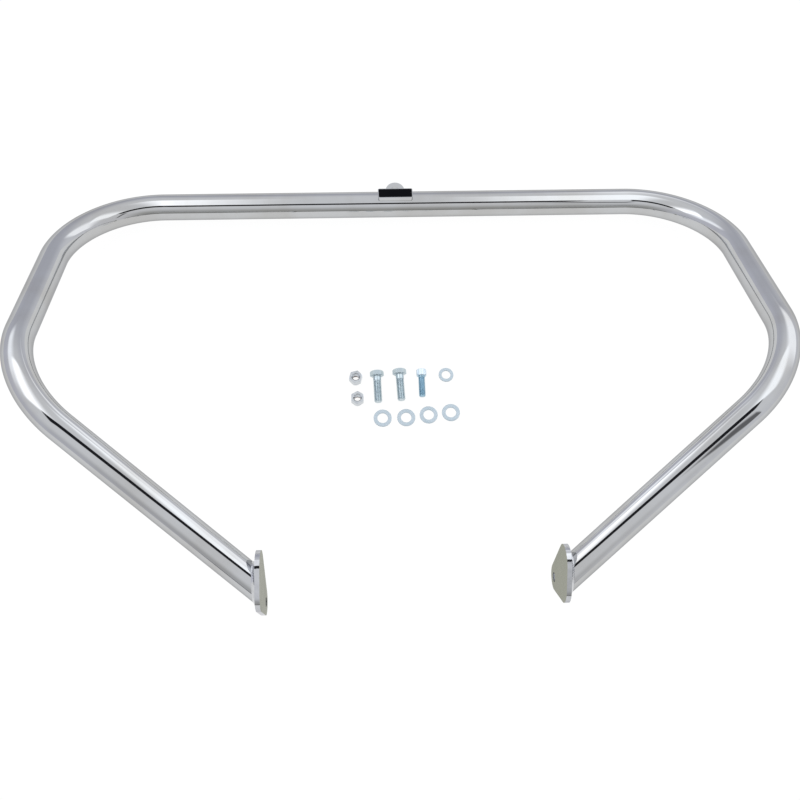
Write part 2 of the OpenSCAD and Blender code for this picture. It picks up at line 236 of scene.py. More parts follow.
for i in range(-window, window + 1):
    stations.append((drain_centre + leg * (i * column_angle * tube_r), leg, cross_axis))

tube_verts = []
tube_faces = []
rims = []
feet = []
for radius in (tube_r, bore_r):
    rows = []
    for centre, direction, across in stations:
        other = direction.cross(across)
        row = []
        for k in range(tube_columns):
            angle = first_angle + k * column_angle
            row.append(len(tube_verts))
            out = across * math.cos(angle) + other * math.sin(angle)
            tube_verts.append(centre + out * radius)
        rows.append(row)
    foot_row = []
    for index in rows[-1]:
        point = tube_verts[index]
        foot_row.append(len(tube_verts))
        tube_verts.append(point + leg * ((foot_plane - point.x) / leg.x))
    rows.append(foot_row)
    feet.append(foot_row)
    for r, (row, above) in enumerate(zip(rows, rows[1:])):
        in_window = first_window_row <= r < first_window_row + 2 * window
        for k in range(tube_columns):
            if in_window and (k < window or k >= tube_columns - window):
                continue
            n = (k + 1) % tube_columns
            tube_faces.append((row[k], row[n], above[n], above[k]))
    edge = [(window, j) for j in range(-window, window)]
    edge += [(i, window) for i in range(window, -window, -1)]
    edge += [(-window, j) for j in range(window, -window, -1)]
    edge += [(i, -window) for i in range(-window, window)]
    rim = []
    for i, j in edge:
        turn = math.atan2(j, i)
        angle = first_angle + math.asin(drain_r * math.sin(turn) / radius)
        rim.append(len(tube_verts))
        tube_verts.append(drain_centre + leg * (drain_r * math.cos(turn)) + (
            cross_axis * math.cos(angle) + leg_across * math.sin(angle)) * radius)
    rims.append(rim)
    middle = first_window_row + window
    for e in range(len(edge)):
        (i, j), (i_next, j_next) = edge[e], edge[(e + 1) % len(edge)]
        near = rows[middle + i][j % tube_columns]
        far = rows[middle + i_next][j_next % tube_columns]
        tube_faces.append((near, far, rim[(e + 1) % len(edge)], rim[e]))
for outer, inner in (rims, feet):
    for k in range(len(outer)):
        n = (k + 1) % len(outer)
        tube_faces.append((outer[k], outer[n], inner[n], inner[k]))


def both_sides(verts, faces):
    """Adds the mirror image across the middle plane."""
    count = len(verts)
    mirrored = [Vector((-v[0], v[1], v[2])) for v in verts]
    mirrored_faces = [tuple(count + i for i in face) for face in faces]
    return list(verts) + mirrored, list(faces) + mirrored_faces


guard_tube = surface("chromed_guard_tube", *both_sides(tube_verts, tube_faces), chrome)
stands_for(guard_tube, "guard_tube")


# End plates
#
# Each foot ends in a plate of 5 mm steel, flame cut to a rounded pad with a lobe for one bolt hole,
# its edges rounded over by the polishing wheel. The rim takes a bright plate, and the flat face
# towards the frame is rougher, its tone darkened and tinted olive as painted shade. The two plates
# sit at different angles.
plate_t = 0.0051
plate_corner_r = 0.0192
plate_spread = 0.0234
plate_lift = 0.0049
plate_shift = 0.0043
lobe_r = 0.014
lobe_hole_r = 0.0051625
plate_round = 0.0021

# The face towards the frame takes a rougher copy of the chrome whose tone is darkened and tinted
# olive: painted shade.
shaded_satin_chrome = plated("shaded_satin_chrome", clear=(0.44, 0.45, 0.41), cloud=(0.42, 0.43, 0.385),
                      cloud_scale=40.0, gloss=0.24, dull=0.32, wave=60.0, grain_scale=1800.0,
                      grain_share=0.10, depth=0.000004, edge=(0.56, 0.56, 0.51))
rim_chrome = plated("rim_chrome", clear=(0.55, 0.56, 0.58), cloud=(0.48, 0.49, 0.51),
                    cloud_scale=60.0, gloss=0.05, dull=0.10, wave=180.0, grain_scale=1200.0,
                    grain_share=0.06, depth=0.00012, edge=(0.70, 0.70, 0.72))


def wrapped(circles, step=5.0):
    """Counterclockwise outline drawn tight round circles given as (x, y, radius)."""
    normals = []
    for (ax, ay, ar), (bx, by, br) in zip(circles, circles[1:] + circles[:1]):
        span = math.hypot(bx - ax, by - ay)
        normals.append(math.atan2(by - ay, bx - ax) - math.acos((ar - br) / span))
    outline = []
    for k, (cx, cy, radius) in enumerate(circles):
        first, last = normals[k - 1], normals[k]
        while last < first:
            last += math.tau
        count = max(2, math.ceil((last - first) / math.radians(step)))
        for i in range(count + 1):
            angle = first + (last - first) * i / count
            outline.append((cx + radius * math.cos(angle), cy + radius * math.sin(angle)))
    return outline


def round_hole(cx, cy, radius, count=64):
    angles = [math.tau * i / count for i in range(count)]
    return [(cx + radius * math.cos(a), cy + radius * math.sin(a)) for a in angles]


def cut_plate(name, loops, bottom, top, place, material, edge_round):
    """A flat blank cut to its outline, with holes, and its edges rounded over."""
    verts = []
    faces = []
    for z in (bottom, top):
        for loop in loops:
            verts += [(x, y, z) for x, y in loop]
    count = len(verts) // 2
    start = 0
    for loop in loops:
        size = len(loop)
        for i in range(size):
            n = (i + 1) % size
            faces.append((start + i, start + n, count + start + n, count + start + i))
        start += size
    flat = tessellate_polygon([[Vector((x, y, 0.0)) for x, y in loop] for loop in loops])
    faces += [tuple(tri) for tri in flat] + [tuple(count + i for i in tri) for tri in flat]
    piece = surface(name, verts, faces, material, 30.0, place)
    rounded = piece.modifiers.new("rounded_edges", "BEVEL")
    rounded.width = edge_round
    rounded.segments = 4
    rounded.limit_method = "ANGLE"
    rounded.angle_limit = math.radians(40)
    rounded.harden_normals = True
    return piece


plate_sides = (("left", -1.0, -0.0106, 13.0), ("right", 1.0, 0.0064, 34.0))
for side, sign, lobe_offset, slope in plate_sides:
    along = Vector((math.cos(math.radians(slope)), math.sin(math.radians(slope))))
    middle = Vector((foot.y + plate_shift, foot.z)) + Vector((-along.y, along.x)) * plate_lift
    corner_offset = along * plate_spread / 2
    lobe = (foot.y + lobe_offset, lobe_r)
    outline = wrapped([(*(middle + corner_offset), plate_corner_r),
                       (*(middle - corner_offset), plate_corner_r), (*lobe, lobe_r)])
    on_side = Matrix(((0, 0, sign, 0), (1, 0, 0, 0), (0, 1, 0, 0), (0, 0, 0, 1)))
    plate = cut_plate(side + "_plate", [outline, round_hole(*lobe, lobe_hole_r)],
                      foot_plane - plate_t, foot_plane, on_side, rim_chrome, plate_round)
    # The flat face towards the frame takes the darker olive copy, painted shade on a rougher
    # finish.
    plate.data.materials.append(shaded_satin_chrome)
    for face in plate.data.polygons:
        if face.normal.x * sign < -0.9:
            face.material_index = 1
    stands_for(plate, side + "_end_plate")


# End welds
#
# Each foot is welded all round to its plate with one bead that follows the slanted joint, dressed
# smooth and plated over, so its ripples show only faintly.
weld_leg = 0.005
weld_steps = 288
ripple_pitch = 0.0022
ripple_height = 0.00005
ripple_bow = 5.0
plate_reach = 0.96
tube_reach = 1.05
belly_on_plate = 0.44
belly_on_tube = 0.42
weld_sink = 0.0008

weld_chrome = plated("weld_chrome", clear=(0.57, 0.58, 0.60), cloud=(0.50, 0.51, 0.52),
                     cloud_scale=160.0, gloss=0.05, dull=0.12, wave=260.0, grain_scale=1500.0,
                     grain_share=0.15, depth=0.00009)

toward_plate = -leg
ring_x = (Vector((1, 0, 0)) - toward_plate * toward_plate.x).normalized()
ring_y = toward_plate.cross(ring_x)
bead_verts = []
bead_faces = []
profile_steps = 10
arc = 0.0
before = None
for i in range(weld_steps):
    t = math.tau * i / weld_steps
    out = ring_x * math.cos(t) + ring_y * math.sin(t)
    across = toward_plate.cross(out)
    toe = foot + (out - toward_plate * (out.x / toward_plate.x)) * tube_r
    rim_way = (across - toward_plate * (across.x / toward_plate.x)).normalized()
    flat_way = Vector((1, 0, 0)).cross(rim_way).normalized()
    if flat_way.dot(out) < 0:
        flat_way = -flat_way
    arc += (toe - before).length if before else 0.0
    before = toe
    low = toe + flat_way * weld_leg * plate_reach
    high = toe + toward_plate * weld_leg * tube_reach
    belly = toe + flat_way * weld_leg * belly_on_plate + toward_plate * weld_leg * belly_on_tube
    belly_way = (flat_way + toward_plate).normalized()
    for j in range(profile_steps + 1):
        v = j / profile_steps
        point = low * (1 - v) ** 2 + belly * 2 * v * (1 - v) + high * v ** 2
        crest = math.sin(math.tau * arc / ripple_pitch + ripple_bow * (v - 0.5) ** 2)
        bead_verts.append(point + belly_way * ripple_height * crest * math.sin(math.pi * v))
    bead_verts.append(toe - belly_way * weld_sink)
row_size = profile_steps + 2
for i in range(weld_steps):
    n = (i + 1) % weld_steps
    for j in range(row_size):
        m = (j + 1) % row_size
        bead_faces.append((i * row_size + j, n * row_size + j, n * row_size + m, i * row_size + m))
for side, sign in (("left", -1.0), ("right", 1.0)):
    flipped = Matrix.Diagonal((sign, 1.0, 1.0, 1.0))
    bead = surface(side + "_foot_weld", bead_verts, bead_faces, weld_chrome, 60.0, flipped)
    stands_for(bead, side + "_end_weld")


# Centre lug
#
# A short tongue of 1/4 in flat bar with a rounded end, drilled for the 5/16 in screw that holds
# the guard to the frame. It lies flat behind the top tube.
lug_t = 0.00635
lug_half = 0.012
lug_nose = 0.002
lug_end = -0.038
lug_corner_r = 0.0015
lug_hole_r = 0.00436875
lug_round = 0.0005

lug_side = lug_half - lug_corner_r
lug_foot = lug_end + lug_corner_r
lug_outline = wrapped([(0.0, -lug_nose, lug_half), (-lug_side, lug_foot, lug_corner_r),
                       (lug_side, lug_foot, lug_corner_r)])
lug = cut_plate("mounting_tongue", [lug_outline, round_hole(0.0, 0.0, lug_hole_r)],
                0.0, lug_t, Matrix.Identity(4), chrome, lug_round)
stands_for(lug, "centre_lug")


# Lug welds
#
# One bead fills the groove between the tongue and the tube on the side of the hole, and a second
# runs across the tongue's end. Both stop a little short of the tongue's edges.
groove_root = 0.0026
groove_reach = 0.0104
groove_half = 0.0111
end_root = 0.002
end_leg = 0.0035
end_half = 0.0102
lug_tail = top_middle.y - lug_end
bead_steps = 84
face_steps = 8
run_out = 0.0025
thinnest = 0.72


def tube_rise(y):
    """Height of the tube's underside above the tongue, at a distance from the line of contact."""
    return tube_r - math.sqrt(tube_r ** 2 - y ** 2)


def bead_face(low, belly, high, x):
    """Outer face of a bead's section, from its toe on the tongue to its toe on the tube."""
    face = []
    for j in range(face_steps + 1):
        v = j / face_steps
        y, z = (low[k] * (1 - v) ** 2 + belly[k] * 2 * v * (1 - v) + high[k] * v ** 2
                for k in (0, 1))
        crest = math.sin(math.tau * x / ripple_pitch + ripple_bow * (v - 0.5) ** 2)
        face.append((y + ripple_height * crest * math.sin(math.pi * v), z))
    return face


def groove_section(x, swell):
    reach = groove_root + (groove_reach - groove_root) * swell
    touch = reach - 0.0012
    high = (touch, tube_rise(touch))
    face = bead_face((reach, 0.0), (reach - 0.0002, high[1] * 0.45), high, x)
    return [(groove_root, 0.0)] + face + [(groove_root, tube_rise(groove_root))]


def end_section(x, swell):
    leg = end_leg * swell
    touch = lug_tail + leg * 0.93
    high = (touch, tube_rise(touch))
    face = bead_face((lug_tail, -leg), (lug_tail + leg * 0.72, -leg * 0.55), high, x)
    inner = [(y, tube_rise(y)) for y in (lug_tail + 0.0015, lug_tail, end_root)]
    return [(-y, z) for y, z in [(end_root, 0.0), (lug_tail, 0.0)] + face + inner]


def lug_bead(half, section_at):
    """Bead along X whose ends taper down."""
    verts = []
    faces = []
    for i in range(bead_steps + 1):
        x = half * (2 * i / bead_steps - 1)
        taper = 1 - min(1.0, (half - abs(x)) / run_out)
        section = section_at(x, thinnest + (1 - thinnest) * math.sqrt(1 - taper ** 2))
        verts += [(x, top_middle.y + y, lug_t + z) for y, z in section]
    size = len(section)
    for i in range(bead_steps):
        for j in range(size):
            m = (j + 1) % size
            faces.append((i * size + j, (i + 1) * size + j, (i + 1) * size + m, i * size + m))
    faces += [tuple(range(size)), tuple(bead_steps * size + j for j in range(size))]
    return verts, faces


lug_beads = (("upper", groove_half, groove_section), ("lower", end_half, end_section))
for name, half, section_at in lug_beads:
    bead = surface(name + "_lug_bead", *lug_bead(half, section_at), weld_chrome, 50.0)
    stands_for(bead, "lug_" + name + "_weld")


# Badge
#
# A small cast holder with a raised rim sits on the front of the top tube over the lug, curved
# behind to fit it. Its shallow pocket is filled with gloss black enamel and carries no lettering.
badge_l = 0.043
badge_w = 0.0162
badge_front = 0.0192
badge_lean = math.radians(12.6)
badge_x = -0.0015
badge_rim = 0.0008
badge_pocket = 0.0007
badge_corner_r = 0.0022
badge_round = 0.0002
inlay_sink = 0.0001
inlay_round = 0.00012
badge_place = (Matrix.Translation((badge_x, top_middle.y, top_middle.z))
               @ Matrix.Rotation(-badge_lean, 4, "X"))


def corner_circles(length, width, radius):
    x, y = length / 2 - radius, width / 2 - radius
    return [(x, y, radius), (-x, y, radius), (-x, -y, radius), (x, -y, radius)]


outer_loop = wrapped(corner_circles(badge_l, badge_w, badge_corner_r), 10.0)
pocket_loop = wrapped(corner_circles(badge_l - 2 * badge_rim, badge_w - 2 * badge_rim,
                                     badge_corner_r - badge_rim), 10.0)
floor_z = badge_front - badge_pocket
saddle = [(x, y, math.sqrt(tube_r ** 2 - y ** 2)) for x, y in outer_loop]
holder_rows = [saddle, [(x, y, badge_front) for x, y in outer_loop],
               [(x, y, badge_front) for x, y in pocket_loop],
               [(x, y, floor_z) for x, y in pocket_loop]]
holder_verts = [v for row in holder_rows for v in row]
size = len(outer_loop)
holder_faces = []
for r in range(3):
    for i in range(size):
        n = (i + 1) % size
        holder_faces.append((r * size + i, r * size + n, (r + 1) * size + n, (r + 1) * size + i))
holder_faces += [tuple(3 * size + i for i in tri)
                 for tri in tessellate_polygon([[Vector((x, y, 0.0)) for x, y in pocket_loop]])]
holder_faces += [tuple(tri)
                 for tri in tessellate_polygon([[Vector((x, y, 0.0)) for x, y in outer_loop]])]
holder = surface("badge_holder", holder_verts, holder_faces, chrome, 30.0, badge_place)
rounded = holder.modifiers.new("rounded_edges", "BEVEL")
rounded.width = badge_round
rounded.segments = 3
rounded.limit_method = "ANGLE"
rounded.angle_limit = math.radians(50)
rounded.harden_normals = True
stands_for(holder, "badge_base")

enamel = bpy.data.materials.new("black_enamel")
enamel.use_nodes = True
tree = enamel.node_tree
shader = tree.nodes["Principled BSDF"]
shader.inputs["Specular IOR Level"].default_value = 0.02
flow = ramped(tree, noise(tree, 90.0, 3.0), 0.3, 0.7, 0.14, 0.24)
tree.links.new(flow, shader.inputs["Roughness"])
tint = tree.nodes.new("ShaderNodeMix")
tint.data_type = "RGBA"
tint.inputs["A"].default_value = (0.002, 0.002, 0.003, 1.0)
tint.inputs["B"].default_value = (0.005, 0.005, 0.006, 1.0)
tree.links.new(noise(tree, 60.0, 2.0), tint.inputs["Factor"])
tree.links.new(tint.outputs["Result"], shader.inputs["Base Color"])
peel = tree.nodes.new("ShaderNodeBump")
peel.inputs["Strength"].default_value = 0.6
peel.inputs["Distance"].default_value = 0.00003
tree.links.new(noise(tree, 900.0, 2.0), peel.inputs["Height"])
tree.links.new(peel.outputs["Normal"], shader.inputs["Normal"])

inlay = cut_plate("enamel_panel", [pocket_loop], floor_z, badge_front - inlay_sink, badge_place,
                  enamel, inlay_round)
stands_for(inlay, "badge_inlay")


# End bolts
#
# Two 3/8-16 hex bolts, 1-1/4 in under the head, of zinc plated steel with rolled threads. They
# bolt the end plates to the frame, and lie loose on the surface, resting on a flat of the head
# and on the tip.
bolt_af = 0.0142875
bolt_head = 0.00617
bolt_r = 0.0047625
bolt_l = 0.03175
bolt_pitch = 0.0015875
bolt_plain = 0.0055
bolt_tip = 0.001
washer_face = 0.0004
face_sink = 0.00005
chamfer_start = 0.0001
chamfer_slope = math.tan(math.radians(30))
fillet = 0.0004
thread_depth = 0.61
run_out_turns = 1.2

zinc = plated("bright_zinc", clear=(0.50, 0.58, 0.61), cloud=(0.46, 0.54, 0.58),
              cloud_scale=90.0, gloss=0.22, dull=0.30, wave=300.0, grain_scale=2600.0,
              grain_share=0.3, depth=0.00001)

sector = [1.2, 5.0, 10.0, 15.0, 20.0, 25.0, 30.0, 35.0, 40.0, 45.0, 50.0, 55.0, 58.8]
hex_angles = [math.radians(60 * k + a) for k in range(6) for a in sector]


def hex_reach(angle, af):
    """Distance from the axis to the side of a hexagon that has a corner at angle zero."""
    return af / 2 / math.cos(angle % (math.pi / 3) - math.pi / 6)


def spun(rows, angles):
    """Wall whose rows each give a radius and a height at every angle."""
    verts = [(r * math.cos(a), r * math.sin(a), z)
             for row in rows for a, (r, z) in zip(angles, row)]
    size = len(angles)
    faces = []
    for k in range(len(rows) - 1):
        low, high = k * size, (k + 1) * size
        for i in range(size):
            n = (i + 1) % size
            faces.append((low + i, low + n, high + n, high + i))
    return verts, faces


def even_row(r, z, angles):
    return [(r, z)] * len(angles)


def helix(angles, pitch, start, end, crest, root, radius_at_start, radius_at_end, fade, shape):
    """Screw thread between two heights; shape limits the radius and fade scales the depth."""
    columns = len(angles)
    marks = [(0.0, 0.0), (0.25, 0.0), (0.5625, 1.0), (0.6875, 1.0)]
    turns = math.ceil((end - start) / pitch) + 2
    verts = []
    for a in angles:
        for turn in range(-1, turns):
            for mark, height in marks:
                z = start + pitch * (turn + mark + a / math.tau)
                if z <= start:
                    r, z = radius_at_start, start
                elif z >= end:
                    r, z = radius_at_end, end
                else:
                    r = crest + (root - crest) * (1 - height) * fade(z)
                    r = shape(r, z)
                verts.append((r * math.cos(a), r * math.sin(a), z))
    rows = len(verts) // columns
    faces = []
    for c in range(columns):
        last = c == columns - 1
        for k in range(rows - 1):
            other = 0 if last else c + 1
            shift = len(marks) if last else 0
            if k + 1 + shift < rows:
                beside = other * rows + k + shift
                faces.append((c * rows + k, c * rows + k + 1, beside + 1, beside))
            else:
                top = other * rows + rows - 1
                faces.append((c * rows + k, c * rows + k + 1, top))
    return verts, faces


def join(*parts):
    """Puts several walls together; their shared edges weld when the piece is made."""
    verts = []
    faces = []
    for part_verts, part_faces in parts:
        start = len(verts)
        verts += part_verts
        faces += [tuple(start + i for i in face) for face in part_faces]
    return verts, faces


def thread_on_bar(radius, pitch, start, end, chamfer, angles):
    """External thread that runs out near the head and ends in a chamfered tip."""
    depth = thread_depth * pitch
    tip = radius - chamfer
    wall = helix(angles, pitch, start, end, radius, radius - depth, radius, tip,
                 lambda z: min(1.0, (z - start) / (run_out_turns * pitch)),
                 lambda r, z: min(r, tip + (end - z)))
    cap = spun([even_row(tip * share, end, angles) for share in (1.0, 0.35, 0.0)], angles)
    return join(wall, cap)


def laid_down(at, turn, low_head, tip_r, head_h, tip_z):
    """Place of a fastener that rests on its head's edge and on its tip, shank towards -Y."""
    drop = math.asin((low_head - tip_r) / math.hypot(tip_z - head_h, low_head - tip_r))
    height = low_head * math.cos(drop) + head_h * math.sin(drop)
    return (Matrix.Translation((at[0], at[1], 0.0)) @ Matrix.Rotation(math.radians(turn), 4, "Z")
            @ Matrix.Translation((0.0, 0.0, height)) @ Matrix.Rotation(math.pi / 2 + drop, 4, "X"))


chamfer_r = bolt_af / 2 - 0.00015
hex_sides = [hex_reach(a, bolt_af) for a in hex_angles]
under = bolt_head - washer_face
bolt_head_wall = spun([
    even_row(0.0, face_sink, hex_angles),
    even_row(chamfer_r * 0.93, face_sink, hex_angles),
    even_row(chamfer_r, chamfer_start, hex_angles),
    [(r, (r - chamfer_r) * chamfer_slope + chamfer_start) for r in hex_sides],
    [(r, under) for r in hex_sides],
    even_row(bolt_af / 2 - 0.0004, under, hex_angles),
    even_row(bolt_af / 2 - 0.0005, bolt_head, hex_angles),
    even_row(bolt_r + fillet, bolt_head, hex_angles),
    even_row(bolt_r, bolt_head + fillet, hex_angles),
    even_row(bolt_r, bolt_head + bolt_plain, hex_angles),
], hex_angles)
bolt_thread = thread_on_bar(bolt_r, bolt_pitch, bolt_head + bolt_plain, bolt_head + bolt_l,
                            bolt_tip, hex_angles)
for number, at, turn in ((1, (-0.0304, -0.2562), 1.6), (2, (-0.0038, -0.2544), 2.5)):
    place = laid_down(at, turn, bolt_af / 2, bolt_r, bolt_head, bolt_head + bolt_l - bolt_tip)
    bolt = surface("hex_bolt_%d" % number, *join(bolt_head_wall, bolt_thread), zinc, 24.0, place,
                   True)
    stands_for(bolt, "end_bolt_%d" % number)


# Lug screw
#
# One 5/16-18 socket head cap screw, 1 in under the head, zinc plated, with a knurled head and a
# hexagon socket. It holds the lug to the frame, and lies loose beside the bolts.
screw_head_r = 0.00595
screw_head = 0.00794
screw_r = 0.00396875
screw_l = 0.0254
screw_pitch = 0.00141111
screw_plain = 0.0016
screw_tip = 0.0009
socket_af = 0.00635
socket_depth = 0.004
knurls = 39
knurl_depth = 0.00018
head_edge = 0.0002

# The head takes a paler copy of the screw's zinc as a painted highlight; the shank below takes a
# darker blue copy of the same plating.
highlit_head_zinc = plated("highlit_head_zinc", clear=(0.62, 0.71, 0.78), cloud=(0.56, 0.66, 0.73),
                   cloud_scale=90.0, gloss=0.18, dull=0.26, wave=300.0, grain_scale=2600.0,
                   grain_share=0.3, depth=0.00001)
fine_angles = [math.tau * i / (knurls * 4) for i in range(knurls * 4)]


def knurled(z):
    """Straight knurl: shallow teeth round the head's side."""
    return [(screw_head_r - (knurl_depth if i % 4 in (0, 1) else 0.0), z)
            for i in range(len(fine_angles))]


socket_row = [hex_reach(a, socket_af) for a in fine_angles]
screw_wall = spun([
    even_row(0.0, socket_depth + 0.0009, fine_angles),
    [(r, socket_depth) for r in socket_row],
    [(r, 0.0003) for r in socket_row],
    even_row(socket_af / 2 / math.cos(math.pi / 6) + head_edge, 0.0, fine_angles),
    even_row(screw_head_r - 0.0008, 0.0, fine_angles),
    even_row(screw_head_r - 0.00025, 0.0004, fine_angles),
    even_row(screw_head_r - head_edge, 0.0008, fine_angles),
    knurled(0.0011),
    knurled(screw_head - 0.0012),
    even_row(screw_head_r - head_edge, screw_head - 0.0009, fine_angles),
    even_row(screw_head_r - head_edge, screw_head - head_edge, fine_angles),
    even_row(screw_head_r - 2 * head_edge, screw_head, fine_angles),
    even_row(screw_r + fillet, screw_head, fine_angles),
    even_row(screw_r, screw_head + fillet, fine_angles),
    even_row(screw_r, screw_head + screw_plain, fine_angles),
], fine_angles)
screw_thread = thread_on_bar(screw_r, screw_pitch, screw_head + screw_plain, screw_head + screw_l,
                             screw_tip, fine_angles)
place = laid_down((0.0224, -0.2546), 0.4, screw_head_r, screw_r, screw_head,
                  screw_head + screw_l - screw_tip)
screw = surface("socket_screw", *join(screw_wall, screw_thread), highlit_head_zinc, 30.0, place, True)
blue_zinc = plated("blue_zinc", clear=(0.34, 0.50, 0.60), cloud=(0.28, 0.44, 0.54),
                   cloud_scale=90.0, gloss=0.18, dull=0.28, wave=300.0, grain_scale=2600.0,
                   grain_share=0.3, depth=0.00001)
# Faces past the head take the darker blue copy, and the head keeps the pale one, a painted
# highlight.
screw.data.materials.append(blue_zinc)
for face in screw.data.polygons:
    if (place.inverted() @ face.center).z > screw_head:
        face.material_index = 1
stands_for(screw, "lug_screw")


# Lock nuts
#
# Two 3/8-16 lock nuts of zinc plated steel. Each has a thin collar rolled over a nylon ring that
# grips the bolt's thread, and stands with that collar down.
nut_h = 0.0117
collar_h = 0.0036
collar_r = 0.0065
minor_r = 0.00405
lip_t = 0.00045
ring_h = 0.0027
ring_r = 0.00575
lip_r = 0.0051
lead_in = 0.0009

nut_top_r = bolt_af / 2 - 0.0001
nut_low = [(r, collar_h + (r - nut_top_r) * chamfer_slope) for r in hex_sides]
nut_high = [(r, nut_h - (r - nut_top_r) * chamfer_slope) for r in hex_sides]
thread_from = lip_t + ring_h
thread_to = nut_h - lead_in
nut_shell = spun([
    even_row(minor_r, thread_from, hex_angles),
    even_row(ring_r, thread_from, hex_angles),
    even_row(ring_r, lip_t, hex_angles),
    even_row(lip_r, lip_t, hex_angles),
    even_row(lip_r, 0.0001, hex_angles),
    even_row(lip_r + 0.0001, 0.0, hex_angles),
    even_row(collar_r - 0.0009, 0.0, hex_angles),
    even_row(collar_r - 0.0004, 0.00015, hex_angles),
    even_row(collar_r - 0.0001, 0.0005, hex_angles),
    even_row(collar_r, 0.0010, hex_angles),
    even_row(collar_r, collar_h, hex_angles),
    even_row(nut_top_r, collar_h, hex_angles),
    nut_low,
    nut_high,
    even_row(nut_top_r, nut_h, hex_angles),
    even_row(minor_r + lead_in, nut_h, hex_angles),
    even_row(minor_r, thread_to, hex_angles),
], hex_angles)
nut_thread = helix(hex_angles, bolt_pitch, thread_from, thread_to, minor_r, bolt_r,
                   minor_r, minor_r,
                   lambda z: min(1.0, (thread_to - z) / bolt_pitch, (z - thread_from) / bolt_pitch),
                   lambda r, z: r)
nut_zinc = plated("nut_zinc", clear=(0.62, 0.65, 0.67), cloud=(0.50, 0.53, 0.56),
                  cloud_scale=120.0, gloss=0.08, dull=0.16, wave=300.0, grain_scale=2600.0,
                  grain_share=0.2, depth=0.00001)
nuts = ((1, (-0.0552, -0.264), 14.0), (2, (-0.0537, -0.2903), 28.0))
for number, at, turn in nuts:
    place = Matrix.Translation((at[0], at[1], 0.0)) @ Matrix.Rotation(math.radians(turn), 4, "Z")
    nut = surface("lock_nut_body_%d" % number, *join(nut_shell, nut_thread), nut_zinc, 24.0, place,
                  True)
    stands_for(nut, "lock_nut_%d" % number)

nylon = bpy.data.materials.new("nylon")
nylon.use_nodes = True
tree = nylon.node_tree
shader = tree.nodes["Principled BSDF"]
tint = tree.nodes.new("ShaderNodeMix")
tint.data_type = "RGBA"
tint.inputs["A"].default_value = (0.34, 0.19, 0.13, 1.0)
tint.inputs["B"].default_value = (0.46, 0.30, 0.22, 1.0)
tree.links.new(noise(tree, 300.0, 3.0), tint.inputs["Factor"])
tree.links.new(tint.outputs["Result"], shader.inputs["Base Color"])
dullness = ramped(tree, noise(tree, 500.0, 3.0), 0.3, 0.7, 0.38, 0.55)
tree.links.new(dullness, shader.inputs["Roughness"])
moulded = tree.nodes.new("ShaderNodeBump")
moulded.inputs["Strength"].default_value = 0.4
moulded.inputs["Distance"].default_value = 0.00005
tree.links.new(noise(tree, 1600.0, 3.0), moulded.inputs["Height"])
tree.links.new(moulded.outputs["Normal"], shader.inputs["Normal"])
for name in ("nut_insert_1", "nut_insert_2"):
    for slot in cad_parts[name].material_slots:
        slot.material = nylon


# Washers
#
# Four 3/8 in flat washers for the end bolts and one 5/16 in washer for the lug screw, stamped from
# steel strip and zinc plated. The punch leaves the upper edges rounded and the lower ones sharp.
washer_t = 0.0016
end_washer_r = 0.01055
end_washer_hole_r = 0.0062
lug_washer_r = 0.0088
lug_washer_hole_r = 0.0053
hole_break = 0.00008
rim_break = 0.00012
rim_roll = 0.00035
hole_roll = 0.0003
roll_steps = 4
washer_angles = [math.tau * i / 96 for i in range(96)]

washer_zinc = plated("dull_zinc", clear=(0.50, 0.57, 0.62), cloud=(0.47, 0.55, 0.60),
                     cloud_scale=70.0, gloss=0.42, dull=0.50, wave=200.0, grain_scale=2600.0,
                     grain_share=0.3, depth=0.00001)


def stamped(outer_r, inner_r):
    """Section of a stamped washer, from the hole's lower edge outwards and back over the top."""
    section = [(inner_r, hole_break), (inner_r + hole_break, 0.0),
               (outer_r - rim_break, 0.0), (outer_r, rim_break)]
    rolls = [math.pi / 2 * i / roll_steps for i in range(roll_steps + 1)]
    for a in rolls:
        section.append((outer_r - rim_roll * (1 - math.cos(a)),
                        washer_t - rim_roll * (1 - math.sin(a))))
    for a in rolls:
        section.append((inner_r + hole_roll * (1 - math.sin(a)),
                        washer_t - hole_roll * (1 - math.cos(a))))
    section.append(section[0])
    return spun([even_row(r, z, washer_angles) for r, z in section], washer_angles)


washers = [("end_washer_1", (-0.0249, -0.3127), end_washer_r, end_washer_hole_r),
           ("end_washer_2", (0.0026, -0.3126), end_washer_r, end_washer_hole_r),
           ("end_washer_3", (0.029, -0.3099), end_washer_r, end_washer_hole_r),
           ("end_washer_4", (0.0552, -0.3076), end_washer_r, end_washer_hole_r),
           ("lug_washer", (0.0521, -0.2595), lug_washer_r, lug_washer_hole_r)]
for number, (node, at, outer_r, inner_r) in enumerate(washers):
    place = Matrix.Translation((at[0], at[1], 0.0)) @ Matrix.Rotation(1.3 * number, 4, "Z")
    washer = surface("stamped_washer_%d" % (number + 1), *stamped(outer_r, inner_r),
                     washer_zinc, 35.0, place, True)
    stands_for(washer, node)


